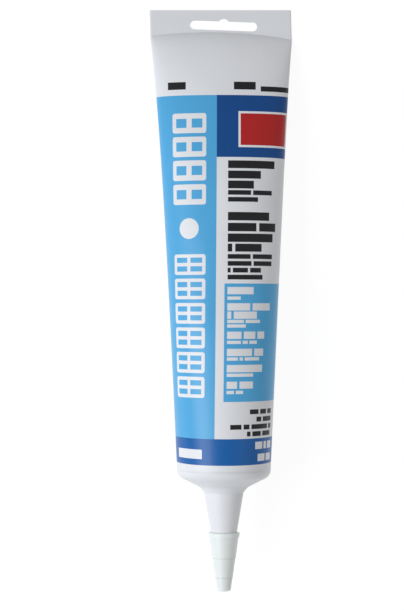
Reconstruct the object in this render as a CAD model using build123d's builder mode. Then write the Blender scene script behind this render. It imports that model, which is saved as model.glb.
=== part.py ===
"""Filled caulk squeeze tube: a sealed sleeve with its shoulder and nozzle, and a push-on cap.

The tube lies as it comes to rest. X runs across it, +Y towards the flat tail, -Y towards the
nozzle, and +Z up. The origin is the middle of the footprint, on the surface it lies on.
"""

from build123d import *
import os
from math import cos, pi, radians, sin, sqrt, tan

# ---- Driving dimensions, in millimetres and degrees ----

# sleeve
sleeve_diameter = 38.1  # outside, at the shoulder, where the sleeve is round
film_wall = 0.55
sleeve_length = 190.0  # from the tail's edge to the shoulder
opening_start = 0.04  # share of the length over which the sleeve leaves the seal gently
opening_power = 0.43  # 1 opens evenly, less opens sooner
tail_lean = 0.9  # the seal's centre is this far to the left of the nozzle's
flat_depth = 0.2  # how far the soft underside is pressed flat by the surface
section_count = 12

# tail seal, two walls pressed into one flat band
seal_length = 10.2
seal_skew = 2.1  # the band and its slot are turned this much from square, in degrees

# hang slot with a peg notch
slot_length = 28.1
slot_height = 3.85
slot_inset = 6.5  # from the tail's edge to the slot's centre
slot_shift = 1.2  # from the band's centre line, to the right
notch_radius = 2.2
notch_rise = 0.8  # from the slot's centre line to the notch's centre

# shoulder and nozzle
nozzle_tilt = 3.0  # how much the nozzle points up from the surface, in degrees
shoulder_collar = 0.2  # straight part before the rounding
shoulder_round = 4.0
shoulder_slope = 26.7  # from square to the axis
neck_radius = 9.7  # where the slope steepens into the neck
neck_slope = 52.0
neck_round = 5.0
nozzle_root_radius = 7.96
nozzle_shown = 16.0  # from the neck to the cap
tip_round = 0.5

# cap
cap_length = 23.9
cap_root_radius = 6.2  # outside of the cone, at the mouth
cap_taper = 7.8  # from the axis
cap_wall = 0.85
cap_end_wall = 1.2
cap_clearance = 0.06  # between nozzle and cap, radially
cap_end_gap = 0.5  # from the nozzle's tip to the inside of the cap's end
cap_end_round = 0.8
cap_crown = 0.4  # how far the middle of the end stands out
lip_radius = 6.45
lip_length = 1.9
lip_undercut = 0.3
ring_places = (10.3, 18.2)  # small steps in the cone, from the mouth
ring_step = 0.12

# ---- Worked out from them ----

# film
seal_thickness = 2 * film_wall
film_girth = pi * (sleeve_diameter - seal_thickness)  # inner girth, which never changes
seal_width = film_girth / 2 + seal_thickness

# along the nozzle's axis, from the end of the sleeve
sleeve_radius = sleeve_diameter / 2
shoulder_corner = shoulder_collar + shoulder_round * tan(radians(90 - shoulder_slope) / 2)
neck_corner = shoulder_corner + (sleeve_radius - neck_radius) * tan(radians(shoulder_slope))
nozzle_start = neck_corner + (neck_radius - nozzle_root_radius) * tan(radians(neck_slope))
cap_start = nozzle_start + nozzle_shown
lip_line = cap_start + lip_length
cap_end = cap_start + cap_length
cap_shoulder = cap_end - cap_crown
bore_end = cap_shoulder - cap_end_wall
nozzle_tip = bore_end - cap_end_gap


def cap_bore(along):
    """Inner radius of the cap's cone, where along is measured from the end of the sleeve."""
    return cap_root_radius - cap_wall - (along - cap_start) * tan(radians(cap_taper))


def cap_outside(along, rings):
    """Outer radius of the cap's cone, past this many of its steps."""
    return cap_bore(along) + cap_wall - rings * ring_step


def nozzle_radius(along):
    """Outer radius of the nozzle inside the cap."""
    return cap_bore(along) - cap_clearance


# in the part's own frame
tilt = radians(nozzle_tilt)
end_round_reach = (cap_shoulder - cap_end_round) * cos(tilt) + cap_end_round
crown_reach = cap_end * cos(tilt)
tail_end = (sleeve_length + max(end_round_reach, crown_reach)) / 2
seal_line = tail_end - seal_length
shoulder_line = tail_end - sleeve_length
skew_shift = seal_length * tan(radians(seal_skew)) / 2
nozzle_x = skew_shift + tail_lean
nozzle_z = sleeve_radius * cos(tilt) - flat_depth

# The nozzle's axis, a plane across it at the shoulder, and a plane through it for the turned
# outlines, whose local X runs along the axis and local Y outwards.
nozzle_direction = (0, -cos(tilt), sin(tilt))
nozzle_origin = (nozzle_x, shoulder_line, nozzle_z)
nozzle_axis = Axis(nozzle_origin, nozzle_direction)
shoulder_plane = Plane(origin=nozzle_origin, x_dir=(1, 0, 0), z_dir=nozzle_direction)
outline_plane = Plane(origin=nozzle_origin, x_dir=nozzle_direction, z_dir=(-1, 0, 0))


def ellipse_girth(a, b):
    """Perimeter of an ellipse with semi-axes a and b, by Ramanujan's second formula."""
    spread = ((a - b) / (a + b)) ** 2
    return pi * (a + b) * (1 + 3 * spread / (10 + sqrt(4 - 3 * spread)))


def half_width(height):
    """Half the sleeve's width where it is this high: the film bends but doesn't stretch."""
    b = height / 2 - film_wall
    low, high = b, film_girth / 4
    for _ in range(40):
        a = (low + high) / 2
        low, high = (a, high) if ellipse_girth(a, b) < film_girth else (low, a)
    return a + film_wall


def section_height(along):
    """The sleeve's height, where along runs from 0 at the seal to 1 at the shoulder."""
    opened = ((1 + opening_start) * along**2 / (along + opening_start)) ** opening_power
    return seal_thickness + (sleeve_diameter - seal_thickness) * opened


def section_plane(along):
    """A plane across the sleeve, centred so that the underside meets the surface."""
    height = section_height(along)
    pressed = flat_depth * (height - seal_thickness) / (sleeve_diameter - seal_thickness)
    x = nozzle_x - tail_lean * (1 - along) ** 3
    y = seal_line + (shoulder_line - seal_line) * along
    return Plane(origin=(x, y, height / 2 - pressed), x_dir=(1, 0, 0), z_dir=(0, -1, 0))


def nearest_vertex(outline, x, y):
    """The vertex of a sketch that lies nearest to its local (x, y)."""
    return outline.vertices().sort_by(lambda v: (v.X - x) ** 2 + (v.Y - y) ** 2)[0]


# ---- Tube: sleeve, tail seal, shoulder and nozzle in one, filled and sealed ----

with BuildPart() as tube:
    # The sections crowd together towards the seal, where the sleeve opens fastest.
    for step in range(section_count):
        along = (step / section_count) ** 2
        height = section_height(along)
        with BuildSketch(section_plane(along)):
            Ellipse(half_width(height), height / 2)
    with BuildSketch(shoulder_plane):
        Circle(sleeve_radius)
    loft()

    # The head is turned about the nozzle's axis. The neck meets the nozzle in a crease.
    with BuildSketch(outline_plane) as head_outline:
        with BuildLine():
            Polyline(
                (0, 0),
                (0, sleeve_radius),
                (shoulder_corner, sleeve_radius),
                (neck_corner, neck_radius),
                (nozzle_start, nozzle_root_radius),
                (cap_start, nozzle_radius(cap_start)),
                (nozzle_tip, nozzle_radius(nozzle_tip)),
                (nozzle_tip, 0),
                close=True,
            )
        make_face()
        fillet(nearest_vertex(head_outline, shoulder_corner, sleeve_radius), shoulder_round)
        fillet(nearest_vertex(head_outline, neck_corner, neck_radius), neck_round)
        fillet(nearest_vertex(head_outline, nozzle_tip, nozzle_radius(nozzle_tip)), tip_round)
    revolve(axis=nozzle_axis)

    # The surface presses the soft underside flat.
    split(bisect_by=Plane.XY)

    # The tail seal leans with its skew, and its cut edge is square to the tube.
    with BuildSketch():
        with BuildLine():
            Polyline(
                (-seal_width / 2 - skew_shift, tail_end),
                (seal_width / 2 - skew_shift, tail_end),
                (seal_width / 2 + skew_shift, seal_line),
                (-seal_width / 2 + skew_shift, seal_line),
                close=True,
            )
        make_face()
    extrude(amount=seal_thickness)

    # The hang slot, with a notch for a peg in its outer edge.
    with BuildSketch():
        with Locations(Location((slot_shift, tail_end - slot_inset), -seal_skew)):
            SlotOverall(slot_length, slot_height)
            with Locations((0, notch_rise)):
                Circle(notch_radius)
    extrude(amount=seal_thickness, mode=Mode.SUBTRACT)

# ---- Cap: a hollow cone with a flared lip, two fine steps and a closed, crowned end ----

with BuildPart() as nozzle_cap:
    lip_root = cap_outside(lip_line, 0)
    edge = [
        (bore_end, 0),
        (bore_end, cap_bore(bore_end)),
        (cap_start, cap_bore(cap_start)),
        (cap_start, lip_radius),
        (lip_line, lip_root + lip_undercut),
        (lip_line, lip_root),
    ]
    for rings, ring_place in enumerate(ring_places):
        ring_line = cap_start + ring_place
        edge.append((ring_line, cap_outside(ring_line, rings)))
        edge.append((ring_line, cap_outside(ring_line, rings + 1)))
    end_radius = cap_outside(cap_shoulder, len(ring_places))
    edge.append((cap_shoulder, end_radius))
    edge.append((cap_end, 0))
    with BuildSketch(outline_plane) as cap_outline:
        with BuildLine():
            Polyline(*edge, close=True)
        make_face()
        fillet(nearest_vertex(cap_outline, cap_shoulder, end_radius), cap_end_round)
    revolve(axis=nozzle_axis)

tube.part.label = "tube"
nozzle_cap.part.label = "nozzle_cap"

os.makedirs("parts", exist_ok=True)
export_step(tube.part, "parts/tube.step")
export_step(nozzle_cap.part, "parts/nozzle_cap.step")
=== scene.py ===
"""A filled caulk squeeze tube that lies on a pale floor, seen from straight above.

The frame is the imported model's: X across the tube, +Y towards the flat tail, -Y towards the
nozzle, +Z up, in metres. Each section makes one piece, and its sizes are in millimetres.
"""

import bpy
import numpy as np
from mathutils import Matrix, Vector


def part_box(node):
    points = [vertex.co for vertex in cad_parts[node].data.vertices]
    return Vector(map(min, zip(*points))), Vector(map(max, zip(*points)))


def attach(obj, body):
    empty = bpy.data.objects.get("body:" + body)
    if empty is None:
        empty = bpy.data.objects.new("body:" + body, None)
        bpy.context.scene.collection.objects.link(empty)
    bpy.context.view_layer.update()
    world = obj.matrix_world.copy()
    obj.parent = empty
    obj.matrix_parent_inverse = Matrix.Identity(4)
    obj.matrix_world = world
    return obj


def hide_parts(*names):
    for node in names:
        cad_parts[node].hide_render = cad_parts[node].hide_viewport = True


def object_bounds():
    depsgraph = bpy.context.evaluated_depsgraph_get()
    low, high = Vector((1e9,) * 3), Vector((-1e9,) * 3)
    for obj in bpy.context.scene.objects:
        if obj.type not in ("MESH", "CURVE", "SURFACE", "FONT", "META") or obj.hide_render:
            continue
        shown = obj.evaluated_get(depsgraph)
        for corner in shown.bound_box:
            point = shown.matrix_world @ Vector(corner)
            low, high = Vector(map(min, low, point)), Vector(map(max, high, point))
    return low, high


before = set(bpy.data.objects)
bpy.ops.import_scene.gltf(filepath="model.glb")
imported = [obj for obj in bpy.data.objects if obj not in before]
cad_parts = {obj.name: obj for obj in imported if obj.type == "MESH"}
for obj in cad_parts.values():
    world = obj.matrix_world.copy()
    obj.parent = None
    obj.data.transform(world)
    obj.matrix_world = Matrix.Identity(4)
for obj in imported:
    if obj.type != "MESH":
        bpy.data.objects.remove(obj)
cad_low, cad_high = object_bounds()

# ---- Camera ----
# It looks straight down on the tube, with the tail at the top of the frame, from the height that
# makes the flat tail, on the floor, look a little smaller than the round shoulder above it.
camera_height = 0.622
framed_length = 0.2558  # of the floor, from the top of the frame to its bottom
camera_across = -0.0078
camera_from_tail = 0.1234
sensor = 24.0
camera_data = bpy.data.cameras.new("camera")
camera_data.sensor_fit = "VERTICAL"
camera_data.sensor_height = sensor
camera_data.sensor_width = sensor
camera_data.lens = sensor * camera_height / framed_length
camera = bpy.data.objects.new("camera", camera_data)
camera.location = (camera_across, cad_high.y - camera_from_tail, camera_height)
bpy.context.scene.collection.objects.link(camera)
bpy.context.scene.camera = camera


# ---- Floor and light ----
# A plain white sheet of paper under a large soft box on the tube's left, with weak light all
# round. The paper looks white to the camera and keeps the tube's soft shadow.
def linear(hex_colour):
    """An sRGB hex colour as linear red, green, blue and alpha."""
    part = np.array([int(hex_colour[i : i + 2], 16) / 255 for i in (1, 3, 5)])
    return (*np.where(part <= 0.04045, part / 12.92, ((part + 0.055) / 1.055) ** 2.4), 1.0)


math_node = "ShaderNodeMath"
colour_a, colour_b, colour_out = 6, 7, 2  # places of a colour Mix node's sockets


def add(tree, kind, inputs=(), **settings):
    """Adds a node with its settings, fills or links its inputs, and returns its first output.

    The inputs are a list in the node's own order, or a dictionary by name or number."""
    node = tree.nodes.new(kind)
    for name, value in settings.items():
        setattr(node, name, value)
    for key, value in inputs.items() if isinstance(inputs, dict) else enumerate(inputs):
        if isinstance(value, bpy.types.NodeSocket):
            tree.links.new(value, node.inputs[key])
        else:
            node.inputs[key].default_value = value
    return node.outputs[0] if node.outputs else None


def new_material(name):
    """A material with an empty node tree."""
    material = bpy.data.materials.new(name)
    material.use_nodes = True
    material.node_tree.nodes.clear()
    return material, material.node_tree


paper, paper_tree = new_material("white_paper")
light_path = add(paper_tree, "ShaderNodeLightPath")
in_mirror = light_path.node.outputs["Is Glossy Ray"]
seen_directly = add(paper_tree, math_node, (light_path, in_mirror), operation="MAXIMUM")
white_share = 0.86  # the rest of what the camera sees is the lit paper, with its shadow
lift = add(paper_tree, math_node, (seen_directly, white_share), operation="MULTIPLY")
matt = add(paper_tree, "ShaderNodeBsdfDiffuse", {"Color": linear("#F7F8F9")})
glow = add(paper_tree, "ShaderNodeEmission", {"Color": linear("#FFFFFF"), "Strength": 1.06})
sheet = add(paper_tree, "ShaderNodeMixShader", (lift, matt, glow))
add(paper_tree, "ShaderNodeOutputMaterial", {"Surface": sheet})

floor_half = 3.0
floor_mesh = bpy.data.meshes.new("floor")
floor_corners = [(x * floor_half, y * floor_half, 0.0) for x, y in ((-1, -1), (1, -1), (1, 1), (-1, 1))]
floor_mesh.from_pydata(floor_corners, [], [(0, 1, 2, 3)])
floor_mesh.materials.append(paper)
floor = bpy.data.objects.new("floor", floor_mesh)
bpy.context.scene.collection.objects.link(floor)

world = bpy.data.worlds.new("studio")
bpy.context.scene.world = world
world.use_nodes = True
world.node_tree.nodes.clear()
world_path = add(world.node_tree, "ShaderNodeLightPath")
world_strength = add(
    world.node_tree,
    "ShaderNodeMapRange",
    {"Value": world_path, "From Min": 0.0, "From Max": 1.0, "To Min": 0.42, "To Max": 1.0},
)
sky = add(
    world.node_tree,
    "ShaderNodeBackground",
    {"Color": linear("#FFFFFF"), "Strength": world_strength},
)
add(world.node_tree, "ShaderNodeOutputWorld", {"Surface": sky})

soft_boxes = {
    # name: (place, width, watts, colour)
    "key_light": ((-0.62, -0.10, 0.62), 0.55, 5.35, "#F8FAFF"),
    "fill_light": ((0.75, -0.05, 0.70), 0.70, 0.5, "#FFF6EE"),
}
for name, (place, width, watts, colour) in soft_boxes.items():
    lamp = bpy.data.lights.new(name, "AREA")
    lamp.shape = "SQUARE"
    lamp.size = width
    lamp.energy = watts
    lamp.color = linear(colour)[:3]
    light = bpy.data.objects.new(name, lamp)
    light.location = place
    light.rotation_euler = Vector(place).to_track_quat("Z", "Y").to_euler()
    bpy.context.scene.collection.objects.link(light)

bpy.context.scene.view_settings.view_transform = "Standard"

# ---- Tube: the sleeve's form ----
# The sleeve is an extruded polyethylene tube, pinched flat and welded at the tail. Its film bends
# but doesn't stretch, so every section has the same inner girth, from the flat tail to the round
# shoulder. All its surfaces are one grid of rings, from the tail's edge to the nozzle's tip.
sleeve_diameter = 38.1
film_wall = 0.55
sleeve_length = 190.0
opening_start = 0.04
opening_power = 0.43
tail_lean = 0.9
flat_depth = 0.2
seal_length = 10.2
seal_skew = np.radians(2.1)
seal_middle = 9.4  # the crimp jaw's edge is bowed: shortest in the middle of the tail
seal_bow = 2.3
seal_slant = 0.8
around = 360
band_rows = 14
sleeve_rows = 104

mm = 0.001
seal_thickness = 2 * film_wall
film_girth = np.pi * (sleeve_diameter - seal_thickness)
outer_girth = np.pi * sleeve_diameter
seal_half = film_girth / 4 + film_wall
tube_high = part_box("tube")[1]
tail_end = tube_high.y / mm
shoulder_line = tail_end - sleeve_length
skew_shift = seal_length * np.tan(seal_skew) / 2
nozzle_x = skew_shift + tail_lean

# Places round the ring, as outer girth from the top: closer together at the two side folds.
turn = np.arange(around + 1) / around
crowding = 0.55
girth_place = outer_girth * (turn + crowding * np.sin(4 * np.pi * turn) / (4 * np.pi))


def film_half_width(b):
    """Half width a of an ellipse of half height b whose girth, by Ramanujan's second formula, is
    the film's. Found by halving an interval 40 times, for all b at once."""
    low, high = np.array(b), np.full_like(b, film_girth / 4)
    for _ in range(40):
        a = (low + high) / 2
        spread = ((a - b) / (a + b)) ** 2
        short = np.pi * (a + b) * (1 + 3 * spread / (10 + np.sqrt(4 - 3 * spread))) < film_girth
        low, high = np.where(short, a, low), np.where(short, high, a)
    return a


def sleeve_sections(heights):
    """Outlines of the sleeve, one for each height, as X and Z arrays of (section, place round).

    The inside is an ellipse, and the outside lies one wall further out along its normal. Each
    outline is sampled finely, at even angles of the ellipse and at even angles of its normal, and
    then read at the wanted lengths of girth."""
    thinnest = 1e-3  # the flat tail's inside is closed to almost nothing
    b = np.maximum(heights / 2 - film_wall, thinnest)
    a = film_half_width(b)
    even = np.linspace(-np.pi, np.pi, 721)
    xs, zs = [], []
    for half_width, half_height in zip(a, b):
        by_ellipse = np.arctan2(half_height * np.sin(even), half_width * np.cos(even))
        normal = np.sort(np.concatenate([even, by_ellipse]))
        reach = np.hypot(half_width * np.sin(normal), half_height * np.cos(normal))
        x = half_width**2 * np.sin(normal) / reach + film_wall * np.sin(normal)
        z = half_height**2 * np.cos(normal) / reach + film_wall * np.cos(normal)
        run = np.concatenate([[0], np.cumsum(np.hypot(np.diff(x), np.diff(z)))])
        wanted = (girth_place[:-1] / outer_girth + 0.5) % 1 * run[-1]
        xs.append(np.interp(wanted, run, x))
        zs.append(np.interp(wanted, run, z))
    return np.array(xs), np.array(zs)


def seal_reach(x):
    """How far the crimped seal reaches from the tail's edge: a parabola across it, and a slant."""
    across = x / seal_half
    return seal_middle + seal_bow * across**2 + seal_slant * across


# Tail band: rows of the same flat outline, from the cut edge to the bowed end of the seal.
down_band = np.arange(band_rows + 1)[:, None] / band_rows
band_x, band_z = sleeve_sections(np.full(band_rows + 1, seal_thickness))
band_v = down_band * seal_reach(band_x)
band_x = band_x + skew_shift * (2 * down_band - 1)
band_z = band_z + film_wall

# Sleeve: rows that crowd together at the seal, where the film opens fastest.
along = (np.arange(1, sleeve_rows + 1)[:, None] / sleeve_rows) ** 2
opened = ((1 + opening_start) * along**2 / (along + opening_start)) ** opening_power
heights = seal_thickness + (sleeve_diameter - seal_thickness) * opened
sleeve_x, sleeve_z = sleeve_sections(heights[:, 0])
bowed = (seal_reach(sleeve_x) - seal_length) * (1 - along) ** 8
sleeve_v = seal_length + along * (sleeve_length - seal_length) + bowed
# Soft dents where the filled film has been pressed and let go: broad ones that wander across the
# sleeve, and finer slanting ones. They fade out at both ends and low on the sides.
broad_depth, fine_depth = 0.16, 0.10
wander = 1.3 * np.sin(sleeve_x / 9.0)
dent = broad_depth * np.sin(sleeve_v / 11.0 + wander) * np.sin(sleeve_x / 7.0 + 0.8)
dent += fine_depth * np.sin(sleeve_v / 5.3 - sleeve_x / 6.1 + 0.5)
dent *= np.sin(np.pi * np.clip(along, 0, 1)) * np.clip(sleeve_z / sleeve_diameter * 4, 0, 1)
sleeve_x = sleeve_x + nozzle_x - tail_lean * (1 - along) ** 3
pressed = flat_depth * (heights - seal_thickness) / (sleeve_diameter - seal_thickness)
sleeve_z = np.maximum(sleeve_z + heights / 2 - pressed + dent, 0)

# ---- Tube: shoulder and nozzle ----
# One polyethylene moulding, welded into the sleeve: a rounded shoulder, a shallow cone, a neck
# and the long nozzle, whose tip is closed until it is cut. It is turned about a tilted axis.
nozzle_tilt = np.radians(3.0)
shoulder_collar = 0.2
shoulder_round = 4.0
shoulder_slope = np.radians(26.7)
neck_radius = 9.7
neck_slope = np.radians(52.0)
neck_round = 5.0
nozzle_root_radius = 7.96
nozzle_shown = 16.0
tip_round = 0.5
cap_length = 23.9
cap_root_radius = 6.2
cap_taper = np.tan(np.radians(7.8))
cap_wall = 0.85
cap_end_wall = 1.2
cap_clearance = 0.06
cap_end_gap = 0.5
cap_crown = 0.4

sleeve_radius = sleeve_diameter / 2
shoulder_corner = shoulder_collar + shoulder_round * np.tan((np.pi / 2 - shoulder_slope) / 2)
neck_corner = shoulder_corner + (sleeve_radius - neck_radius) * np.tan(shoulder_slope)
nozzle_start = neck_corner + (neck_radius - nozzle_root_radius) * np.tan(neck_slope)
cap_start = nozzle_start + nozzle_shown
cap_end = cap_start + cap_length
cap_shoulder = cap_end - cap_crown
bore_end = cap_shoulder - cap_end_wall
nozzle_tip = bore_end - cap_end_gap


def bore_radius(place):
    """Inner radius of the cap's cone at a place along the axis."""
    return cap_root_radius - cap_wall - (place - cap_start) * cap_taper


def rounded_outline(corners, spacing):
    """Points along an outline of straight runs and arcs. corners holds (along, radius, rounding).

    A rounded corner becomes an arc tangent to both its runs, every piece is divided evenly at
    about the spacing, and a corner without rounding stays a crease."""
    place = np.array([c[:2] for c in corners], float)
    bends = [place[:1]]
    for before, here, after, (_, _, rounding) in zip(place, place[1:], place[2:], corners[1:-1]):
        back = (before - here) / np.hypot(*(before - here))
        ahead = (after - here) / np.hypot(*(after - here))
        half_angle = np.arccos(np.clip(back @ ahead, -1, 1)) / 2
        if rounding == 0:
            bends.append(here[None])
            continue
        inward = (back + ahead) / np.hypot(*(back + ahead))
        centre = here + inward * rounding / np.sin(half_angle)
        start = here + back * rounding / np.tan(half_angle) - centre
        end = here + ahead * rounding / np.tan(half_angle) - centre
        sweep = np.pi - 2 * half_angle
        share = np.linspace(0, 1, max(3, int(rounding * sweep / spacing) + 2))[:, None]
        arc = np.sin((1 - share) * sweep) * start + np.sin(share * sweep) * end
        bends.append(centre + arc / np.sin(sweep))
    bends.append(place[-1:])
    points = np.concatenate(bends)
    steps = np.maximum(np.ceil(np.hypot(*np.diff(points, axis=0).T) / spacing), 1).astype(int)
    runs = [p + (q - p) * np.arange(n)[:, None] / n for p, q, n in zip(points, points[1:], steps)]
    return np.concatenate(runs + [points[-1:]])


def turned(outline, angles):
    """Rings of an outline about the nozzle's axis, as X, Y and Z arrays in millimetres. Each point
    is the axis point plus the radius times the sine across and the cosine up the tilted ring."""
    place, radius = outline[:, :1], outline[:, 1:]
    rise = radius * np.cos(angles)
    x = nozzle_x + radius * np.sin(angles)
    y = shoulder_line - place * np.cos(nozzle_tilt) + rise * np.sin(nozzle_tilt)
    z = sleeve_radius * np.cos(nozzle_tilt) - flat_depth
    return x, y, z + place * np.sin(nozzle_tilt) + rise * np.cos(nozzle_tilt)


head_outline = rounded_outline(
    [
        (0, sleeve_radius, 0),
        (shoulder_corner, sleeve_radius, shoulder_round),
        (neck_corner, neck_radius, neck_round),
        (nozzle_start, nozzle_root_radius, 0),
        (cap_start, bore_radius(cap_start) - cap_clearance, 0),
        (nozzle_tip, bore_radius(nozzle_tip) - cap_clearance, tip_round),
        (nozzle_tip, 0.3, 0),
    ],
    0.7,
)[1:]
head_x, head_y, head_z = turned(head_outline, 2 * np.pi * girth_place[:-1] / outer_girth)

# ---- Tube: one closed mesh, with the hang slot ----
# The slot is die-cut through the crimped band, with a notch for a peg in its outer edge. A window
# of the grid round it, on the top and the bottom of the band, is replaced by rings of faces that
# run from the window's edge to the slot's edge.
slot_length = 28.1
slot_height = 3.85
slot_inset = 6.5
slot_shift = 1.2
notch_radius = 2.2
notch_rise = 0.8
window_half = 16.0
window_first_row = 3
window_rings = 6

grid_x = np.concatenate([band_x, sleeve_x, head_x])
grid_y = np.concatenate([tail_end - band_v, tail_end - sleeve_v, head_y])
grid_z = np.maximum(np.concatenate([band_z, sleeve_z, head_z]), 0)
rows = len(grid_x)
grid = np.stack([grid_x, grid_y, grid_z], axis=-1).reshape(-1, 3)
tip = np.array([[grid_x[-1].mean(), grid_y[-1].mean(), grid_z[-1].mean()]])
head_v = np.broadcast_to(tail_end - head_y.mean(1, keepdims=True), head_y.shape)
row_v = np.concatenate([band_v, sleeve_v, head_v])

row, column = np.meshgrid(np.arange(rows - 1), np.arange(around), indexing="ij")
half_turn = around // 2
signed_column = (column + half_turn) % around - half_turn
window_columns = int(np.argmin(abs(girth_place[: around // 4] - window_half)))
in_window_rows = (row >= window_first_row) & (row < band_rows)
top_window = in_window_rows & (signed_column >= -window_columns) & (signed_column < window_columns)
bottom_column = half_turn - column
bottom_window = in_window_rows & (bottom_column > -window_columns) & (bottom_column <= window_columns)
kept = ~(top_window | bottom_window)
row, column = row[kept], column[kept]
beside = (column + 1) % around
here, below = row * around, (row + 1) * around
quads = np.stack([here + column, below + column, below + beside, here + beside], axis=1)
wrap = outer_girth * (column >= half_turn)
left, right = girth_place[column] - wrap, girth_place[column + 1] - wrap
flat_v = row_v.reshape(-1)
quad_uv = np.stack([np.stack([left, left, right, right], axis=1), flat_v[quads]], axis=-1)

# The window's edge, once round, as grid rows and columns: tail side, right, sleeve side, left.
span = np.arange(-window_columns, window_columns)
drop = np.arange(window_first_row, band_rows)
tail_side, sleeve_side = np.full(len(span), window_first_row), np.full(len(span), band_rows)
right_side = np.full(len(drop), window_columns)
edge_rows = np.concatenate([tail_side, drop, sleeve_side, drop[::-1] + 1])
edge_columns = np.concatenate([span, right_side, -span, -right_side])
top_edge = edge_rows * around + edge_columns % around
bottom_edge = edge_rows * around + (half_turn - edge_columns) % around

# Slot outline: the window's edge pulled straight onto the slot's rounded form, then the notch.
cos_skew, sin_skew = np.cos(-seal_skew), np.sin(-seal_skew)
slot_centre = np.array([slot_shift, tail_end - slot_inset])
slot_turn = np.array([[cos_skew, sin_skew], [-sin_skew, cos_skew]])
local = (grid[top_edge, :2] - slot_centre) @ slot_turn.T
core_half = (slot_length - slot_height) / 2
core = np.stack([np.clip(local[:, 0], -core_half, core_half), np.zeros(len(local))], axis=1)
outward = (local - core) / np.hypot(*(local - core).T)[:, None]
slot_edge = core + outward * slot_height / 2
notch = notch_rise + np.sqrt(np.maximum(notch_radius**2 - slot_edge[:, 0] ** 2, 0))
in_notch = (abs(slot_edge[:, 0]) < notch_radius) & (slot_edge[:, 1] > 0)
slot_edge[:, 1] = np.where(in_notch, np.maximum(slot_edge[:, 1], notch), slot_edge[:, 1])
slot_edge = slot_edge @ slot_turn + slot_centre

share = (np.arange(1, window_rings + 1) / window_rings)[:, None, None]
flat_rings = grid[top_edge, :2] * (1 - share) + slot_edge * share
rings = np.concatenate([flat_rings, np.full((*flat_rings.shape[:2], 1), seal_thickness)], axis=-1)
top_rings = rings.reshape(-1, 3)
bottom_rings = (rings * [1, 1, 0]).reshape(-1, 3)
loop = len(top_edge)
first_top = len(grid) + 1
first_bottom = first_top + len(top_rings)
new_rings = np.arange(window_rings * loop).reshape(window_rings, loop)
top_index = np.concatenate([top_edge[None], first_top + new_rings])
bottom_index = np.concatenate([bottom_edge[None], first_bottom + new_rings])


def ring_faces(outer, inner):
    """Quads between two closed loops of vertices, seen from above with the loops clockwise."""
    return np.stack([outer, inner, np.roll(inner, -1), np.roll(outer, -1)], axis=1)


patches = [ring_faces(top_index[i], top_index[i + 1]) for i in range(window_rings)]
patches += [ring_faces(bottom_index[i], bottom_index[i + 1])[:, ::-1] for i in range(window_rings)]
patches.append(ring_faces(top_index[-1], bottom_index[-1]))

# The tail's cut end joins each place on the top to the one below it.
strip = np.arange(-around // 4 + 1, around // 4 - 1)
mirror = half_turn - strip
end_quads = np.stack([strip, strip + 1, mirror - 1, mirror], axis=1) % around
fold = around // 4
end_corners = np.array(
    [
        [-fold % around, (1 - fold) % around, (half_turn + fold - 1) % around],
        [fold - 1, fold, half_turn - fold + 1],
    ]
)
last_ring = (rows - 1) * around + np.arange(around)
tip_corners = np.stack([last_ring, np.full(around, len(grid)), np.roll(last_ring, -1)], axis=1)

points = np.concatenate([grid, tip, top_rings, bottom_rings]) * mm
flat_uv = np.stack([points[:, 0] / mm, tail_end - points[:, 1] / mm], axis=1)


def build_mesh(name, points, face_sets, uv_sets):
    """A smooth-shaded object of these faces, with creases over 20 degrees and a map in millimetres
    called label. face_sets are arrays of vertex numbers, uv_sets their corners' places."""
    mesh = bpy.data.meshes.new(name)
    faces = [face for faces in face_sets for face in faces.tolist()]
    mesh.from_pydata(points.tolist(), [], faces)
    label = mesh.uv_layers.new(name="label")
    corners = np.concatenate([uv.reshape(-1, 2) for uv in uv_sets])
    label.data.foreach_set("uv", corners.ravel())
    mesh.polygons.foreach_set("use_smooth", np.ones(len(faces), bool))
    mesh.set_sharp_from_angle(angle=np.radians(20))
    piece = bpy.data.objects.new(name, mesh)
    bpy.context.scene.collection.objects.link(piece)
    return piece


face_sets = [quads, *patches, end_quads, end_corners, tip_corners]
uv_sets = [quad_uv, *[flat_uv[faces] for faces in face_sets[1:]]]
tube = build_mesh("squeeze_tube", points, face_sets, uv_sets)
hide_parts("tube")
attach(tube, "filled_tube")

# ---- Tube: film and print ----
# White low-density polyethylene, satin from the extruder, printed in five flat inks that have a
# slight gloss. The print is fields of colour, bars, and plain window and door signs.
film, film_tree = new_material("printed_white_polyethylene")
label_map = add(film_tree, "ShaderNodeUVMap", uv_map="label")
label_xy = add(film_tree, "ShaderNodeSeparateXYZ", {0: label_map})
label_v = label_xy.node.outputs[1]

# The sleeve is a little twisted against the print, so the fields drift across it on their way down.
print_twist = 0.0125
print_shift = -1.4
drift = add(film_tree, math_node, (label_v, print_twist, print_shift), operation="MULTIPLY_ADD")
label_s = add(film_tree, math_node, (label_xy, drift), operation="ADD")


def block(left, right, top, bottom):
    """1 inside a rectangle of the label, 0 outside, from millimetres across and down it."""
    half_width, half_height = (right - left) / 2, (bottom - top) / 2
    across = add(film_tree, math_node, (label_s, left + half_width, half_width), operation="COMPARE")
    down = add(film_tree, math_node, (label_v, top + half_height, half_height), operation="COMPARE")
    return add(film_tree, math_node, (across, down), operation="MULTIPLY")


def words(left, top, height, lengths, gap):
    """Bars side by side, each as long as its word, in one line of the label."""
    across = 0.0
    for length in lengths:
        centre = left + length / 2
        bar = add(film_tree, math_node, (label_s, centre, length / 2), operation="COMPARE")
        across = add(film_tree, math_node, (across, bar), operation="ADD")
        left += length + gap
    down = add(film_tree, math_node, (label_v, top + height / 2, height / 2), operation="COMPARE")
    return add(film_tree, math_node, (across, down), operation="MULTIPLY")


def together(masks):
    """1 where any of the masks is 1."""
    whole = masks[0]
    for mask in masks[1:]:
        whole = add(film_tree, math_node, (whole, mask), operation="MAXIMUM")
    return whole


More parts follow.
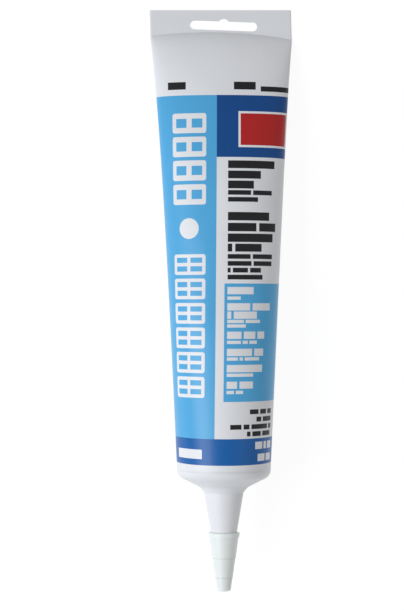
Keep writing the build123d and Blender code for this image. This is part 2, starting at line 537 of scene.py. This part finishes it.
field_top, field_bottom, foot_bottom = 37.6, 176.4, 186.8
divide = -3.2
field_left, field_right = -36.0, 34.0
banner_bottom = 63.5
panel_left, panel_top, panel_bottom = 0.2, 114.8, 161.8
text_left = 1.4

light_blue = together(
    [
        block(field_left, divide, field_top, field_bottom),
        block(panel_left, field_right, panel_top, panel_bottom),
    ]
)
banner_blue = block(divide, field_right, field_top, banner_bottom)
foot_blue = block(-70.0, 70.0, field_bottom, foot_bottom)

# Signs in the light-blue field: six windows with four panes, a disc, and four doors with two
# panels, in a white column that is read with the tube on its side.
sign_middle, sign_half, sign_length, sign_pitch = -14.6, 7.1, 8.3, 9.8
sign_round = 1.0
window_start, door_start, disc_centre, disc_radius = 103.0, 45.2, 92.6, 4.2
sign_s = add(film_tree, math_node, (label_s, sign_middle), operation="SUBTRACT")
sign_s_size = add(film_tree, math_node, (sign_s,), operation="ABSOLUTE")


def signs(start, count, pane_centre, pane_half, pane_centre_s, pane_half_s):
    """A row of equal rounded signs, less their panes: the label's length is wrapped at the pitch,
    and a point is inside when it is within the rounding of the sign's inner rectangle."""
    length = count * sign_pitch
    in_row = add(film_tree, math_node, (label_v, start + length / 2, length / 2), operation="COMPARE")
    v = add(film_tree, math_node, (label_v, start), operation="SUBTRACT")
    v = add(film_tree, math_node, (v, sign_pitch, 0.0), operation="WRAP")
    v = add(film_tree, math_node, (v, sign_length / 2), operation="SUBTRACT")
    v = add(film_tree, math_node, (v,), operation="ABSOLUTE")
    squares = []
    for distance, half in ((sign_s_size, sign_half), (v, sign_length / 2)):
        over = add(film_tree, math_node, (distance, half - sign_round), operation="SUBTRACT")
        over = add(film_tree, math_node, (over, 0.0), operation="MAXIMUM")
        squares.append(add(film_tree, math_node, (over, 2.0), operation="POWER"))
    inside = add(film_tree, math_node, squares, operation="ADD")
    inside = add(film_tree, math_node, (inside, sign_round**2), operation="LESS_THAN")
    pane_v = add(film_tree, math_node, (v, pane_centre, pane_half), operation="COMPARE")
    pane_s = add(film_tree, math_node, (sign_s_size, pane_centre_s, pane_half_s), operation="COMPARE")
    pane = add(film_tree, math_node, (pane_v, pane_s), operation="MULTIPLY")
    solid = add(film_tree, math_node, (1.0, pane), operation="SUBTRACT")
    sign = add(film_tree, math_node, (inside, solid), operation="MULTIPLY")
    return add(film_tree, math_node, (in_row, sign), operation="MULTIPLY")


from_disc = add(film_tree, math_node, (label_v, disc_centre), operation="SUBTRACT")
squares = [add(film_tree, math_node, (far, 2.0), operation="POWER") for far in (from_disc, sign_s)]
disc_distance = add(film_tree, math_node, squares, operation="ADD")
disc = add(film_tree, math_node, (disc_distance, disc_radius**2), operation="LESS_THAN")

# White bars: (from the top of the panel, height, word lengths, gap).
panel_lines = [
    (1.4, 2.9, (10.8,), 1.0),
    (5.2, 1.3, (5.4,), 0.7),
    (7.9, 2.9, (9.4, 8.6), 1.0),
    (11.2, 2.9, (1.6, 9.8), 1.0),
    (14.5, 1.3, (6.8, 6.4), 0.7),
    (16.3, 1.3, (7.6,), 0.7),
    (19.2, 2.9, (5.8, 5.0, 3.4), 1.0),
    (22.8, 1.3, (5.6, 2.2, 3.4), 0.7),
    (26.0, 2.9, (10.4, 4.4), 1.0),
    (29.4, 1.3, (4.4, 1.4, 6.6), 0.7),
    (32.4, 2.9, (15.4,), 1.0),
    (35.8, 1.3, (11.0,), 0.7),
    (39.0, 2.8, (4.2, 5.8), 1.0),
    (42.6, 1.3, (3.0, 3.0), 0.7),
]
foot_lines = [(4.3, 3.7, -22.4, (14.0,)), (1.4, 2.9, 14.0, (4.0, 1.8, 3.6)), (6.2, 2.9, 15.4, (4.4, 4.2))]
white = together(
    [signs(window_start, 6, 1.75, 1.05, 3.2, 2.5), signs(door_start, 4, 0.0, 1.9, 3.3, 2.2), disc]
    + [words(text_left, panel_top + top, height, lengths, gap) for top, height, lengths, gap in panel_lines]
    + [words(start, field_bottom + top, height, lengths, 0.8) for top, height, start, lengths in foot_lines]
)

# Black bars on the white film: (top, height, start, word lengths, gap).
black_lines = [
    (31.9, 3.2, -23.6, (7.6,), 1.0),
    (31.9, 3.3, 3.8, (9.0,), 1.0),
    (33.7, 2.2, 14.9, (15.0,), 1.0),
    (64.9, 3.2, text_left, (19.8,), 1.2),
    (69.1, 3.2, text_left, (13.6,), 1.2),
    (73.2, 3.2, text_left, (10.6,), 1.2),
    (77.1, 1.9, text_left, (9.4, 8.4), 0.9),
    (79.9, 1.9, text_left, (12.4,), 0.9),
    (86.0, 3.4, text_left, (17.6,), 1.2),
    (90.4, 3.4, text_left, (11.8, 8.0), 1.2),
    (94.7, 3.4, text_left, (19.6,), 1.2),
    (98.8, 3.2, text_left, (1.8, 11.2), 1.2),
    (103.0, 1.9, text_left, (9.4, 9.2), 0.9),
    (105.8, 1.9, text_left, (9.8, 8.6), 0.9),
    (108.5, 1.9, text_left, (1.2, 6.2, 4.8), 0.9),
    (111.3, 1.9, text_left, (14.8,), 0.9),
    (164.9, 1.9, 11.2, (4.2, 3.6, 3.2), 0.9),
    (167.9, 1.9, 14.4, (2.6, 6.0), 0.9),
    (170.8, 1.9, 3.0, (4.6, 2.6, 9.0, 2.0), 0.9),
    (173.6, 1.9, 10.0, (1.6, 4.4, 5.6), 0.9),
]
black = together([words(start, top, high, sizes, gap) for top, high, start, sizes, gap in black_lines])

# A plain red plate with a white edge in the banner.
plate = block(5.6, 28.0, 44.4, 59.4)
plate_red = block(6.5, 27.1, 45.3, 58.5)

film_white = "#E2E4E7"
colour = linear(film_white)
for mask, ink in (
    (light_blue, "#50A8DA"),
    (banner_blue, "#07488A"),
    (foot_blue, "#125FA6"),
    (plate, film_white),
    (plate_red, "#B41F1E"),
    (white, film_white),
    (black, "#1B1B1F"),
):
    inks = {"Factor": mask, colour_a: colour, colour_b: linear(ink)}
    colour = add(film_tree, "ShaderNodeMix", inks, data_type="RGBA").node.outputs[colour_out]

# Faint unevenness of the film's white, about 20 mm across, and a greyer, pressed tail seal.
place = add(film_tree, "ShaderNodeTexCoord").node.outputs["Object"]
cloud_size = 20 * mm
clouds = add(film_tree, "ShaderNodeTexNoise", {"Vector": place, "Scale": 1 / cloud_size, "Detail": 2.0})
cloud_tone = add(film_tree, "ShaderNodeMapRange", {"Value": clouds, "To Min": 0.97, "To Max": 1.03})
seal_edge = add(film_tree, "ShaderNodeAttribute", attribute_name="seal")
seal_tone = add(
    film_tree,
    "ShaderNodeMapRange",
    {"Value": seal_edge.node.outputs["Fac"], "To Min": 1.0, "To Max": 0.93},
)
tone = add(film_tree, math_node, (cloud_tone, seal_tone), operation="MULTIPLY")
toned = add(
    film_tree,
    "ShaderNodeMix",
    {"Factor": 1.0, colour_a: colour, colour_b: tone},
    data_type="RGBA",
    blend_type="MULTIPLY",
)

# Crimp ribs across the seal, 1 mm apart, and the extruder's fine lines along the sleeve.
rib_pitch = 1.0
rib = add(film_tree, math_node, (label_xy, 2 * np.pi / rib_pitch), operation="MULTIPLY")
rib = add(film_tree, math_node, (rib,), operation="SINE")
rib = add(film_tree, math_node, (rib, seal_edge.node.outputs["Fac"]), operation="MULTIPLY")
grain_place = add(film_tree, "ShaderNodeMapping", {"Vector": label_map, "Scale": (1.6, 0.03, 1.0)})
grain = add(film_tree, "ShaderNodeTexNoise", {"Vector": grain_place, "Scale": 1.0, "Detail": 3.0})
relief = add(film_tree, math_node, (rib, 0.35, grain), operation="MULTIPLY_ADD")
bump = add(film_tree, "ShaderNodeBump", {"Height": relief, "Strength": 0.22, "Distance": 0.15 * mm})

inked = together([light_blue, banner_blue, foot_blue, plate])
roughness = add(film_tree, "ShaderNodeMapRange", {"Value": inked, "To Min": 0.42, "To Max": 0.34})
surface = add(
    film_tree,
    "ShaderNodeBsdfPrincipled",
    {
        "Base Color": toned.node.outputs[colour_out],
        "Roughness": roughness,
        "IOR": 1.51,
        "Specular IOR Level": 0.32,
        "Subsurface Weight": 0.12,
        "Subsurface Radius": (1.0, 1.0, 1.0),
        "Subsurface Scale": 0.0012,
        "Normal": bump,
    },
)
add(film_tree, "ShaderNodeOutputMaterial", {"Surface": surface})
tube.data.materials.append(film)

seal_share = np.zeros(len(points))
seal_share[: (band_rows + 1) * around] = 1.0
seal_share[len(grid) + 1 :] = 1.0
seal_attribute = tube.data.attributes.new("seal", "FLOAT", "POINT")
seal_attribute.data.foreach_set("value", seal_share)

# ---- Cap ----
# A natural polyethylene moulding, pushed over the nozzle: a thin hollow cone with a flared lip,
# two fine mould steps, and a rounded, slightly crowned end. It lets a little light through.
cap_end_round = 0.8
lip_radius = 6.45
lip_length = 1.9
lip_undercut = 0.3
ring_places = (10.3, 18.2)
ring_step = 0.12
edge_round = 0.15
cap_around = 160

lip_line = cap_start + lip_length
lip_root = bore_radius(lip_line) + cap_wall
cap_corners = [
    (bore_end, 0.2, 0),
    (bore_end, bore_radius(bore_end), 0.3),
    (cap_start, bore_radius(cap_start), edge_round),
    (cap_start, lip_radius, 0.35),
    (lip_line, lip_root + lip_undercut, edge_round),
    (lip_line, lip_root, edge_round / 2),
]
for passed, ring in enumerate(ring_places):
    ring_line = cap_start + ring
    ring_radius = bore_radius(ring_line) + cap_wall - passed * ring_step
    cap_corners += [(ring_line, ring_radius, 0), (ring_line + 0.04, ring_radius - ring_step, 0)]
end_radius = bore_radius(cap_shoulder) + cap_wall - len(ring_places) * ring_step
cap_corners += [(cap_shoulder, end_radius, cap_end_round), (cap_end, 0.1, 0)]
cap_outline = rounded_outline(cap_corners, 0.5)
cap_angles = 2 * np.pi * np.arange(cap_around) / cap_around
cap_grid = np.stack(turned(cap_outline, cap_angles), axis=-1)
cap_rows = len(cap_grid)
cap_poles = cap_grid[[0, -1]].mean(axis=1)
cap_here = np.repeat(np.arange(cap_rows - 1), cap_around) * cap_around
cap_below = cap_here + cap_around
cap_column = np.tile(np.arange(cap_around), cap_rows - 1)
cap_beside = (cap_column + 1) % cap_around
cap_quads = np.stack(
    [cap_here + cap_column, cap_below + cap_column, cap_below + cap_beside, cap_here + cap_beside],
    axis=1,
)
first, last = np.arange(cap_around), (cap_rows - 1) * cap_around + np.arange(cap_around)
inner_pole = np.full(cap_around, cap_rows * cap_around)
cap_fans = [
    np.stack([inner_pole, first, np.roll(first, -1)], axis=1),
    np.stack([last, inner_pole + 1, np.roll(last, -1)], axis=1),
]
cap_points = np.concatenate([cap_grid.reshape(-1, 3), cap_poles]) * mm
cap_along = np.concatenate([np.repeat(cap_outline[:, 0], cap_around), [bore_end, cap_end]]) - cap_start
cap_uv = np.stack([cap_points[:, 0] / mm, cap_along], axis=1)
cap_faces = [cap_quads, *cap_fans]
cap = build_mesh("push_on_cap", cap_points, cap_faces, [cap_uv[faces] for faces in cap_faces])
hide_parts("nozzle_cap")
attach(cap, "cap")

# Moulded natural polyethylene: waxy, faintly green, with soft edges where light passes through, and a thin
# painted shadow line at each of the two mould steps.
mottle_size = 4 * mm
step_shadow_half = 0.16
natural, natural_tree = new_material("natural_polyethylene")
cap_place = add(natural_tree, "ShaderNodeTexCoord").node.outputs["Object"]
mottle = add(
    natural_tree,
    "ShaderNodeTexNoise",
    {"Vector": cap_place, "Scale": 1 / mottle_size, "Detail": 2.0},
)
mottled = add(
    natural_tree,
    "ShaderNodeMix",
    {"Factor": mottle, colour_a: linear("#E4ECE9"), colour_b: linear("#EBF1EE")},
    data_type="RGBA",
)
cap_map = add(natural_tree, "ShaderNodeUVMap", uv_map="label")
cap_place_along = add(natural_tree, "ShaderNodeSeparateXYZ", {0: cap_map}).node.outputs[1]
# Painted shadow: a thin grey-green line at each mould step, standing in for the shadow that the step's edge
# casts, which the small step in the mesh doesn't show by itself.
step_shadow_lines = [
    add(natural_tree, math_node, (cap_place_along, ring, step_shadow_half), operation="COMPARE")
    for ring in ring_places
]
painted_step_shadow = add(natural_tree, math_node, step_shadow_lines, operation="ADD")
painted_step_shadow = add(natural_tree, math_node, (painted_step_shadow, 0.45), operation="MULTIPLY")
shaded = add(
    natural_tree,
    "ShaderNodeMix",
    {
        "Factor": painted_step_shadow,
        colour_a: mottled.node.outputs[colour_out],
        colour_b: linear("#B9C2C0"),
    },
    data_type="RGBA",
)
cap_bump = add(natural_tree, "ShaderNodeBump", {"Height": mottle, "Strength": 0.1, "Distance": 0.1 * mm})
cap_surface = add(
    natural_tree,
    "ShaderNodeBsdfPrincipled",
    {
        "Base Color": shaded.node.outputs[colour_out],
        "Roughness": 0.38,
        "IOR": 1.52,
        "Subsurface Weight": 0.35,
        "Subsurface Radius": (1.0, 1.0, 0.95),
        "Subsurface Scale": 0.002,
        "Normal": cap_bump,
    },
)
add(natural_tree, "ShaderNodeOutputMaterial", {"Surface": cap_surface})
cap.data.materials.append(natural)
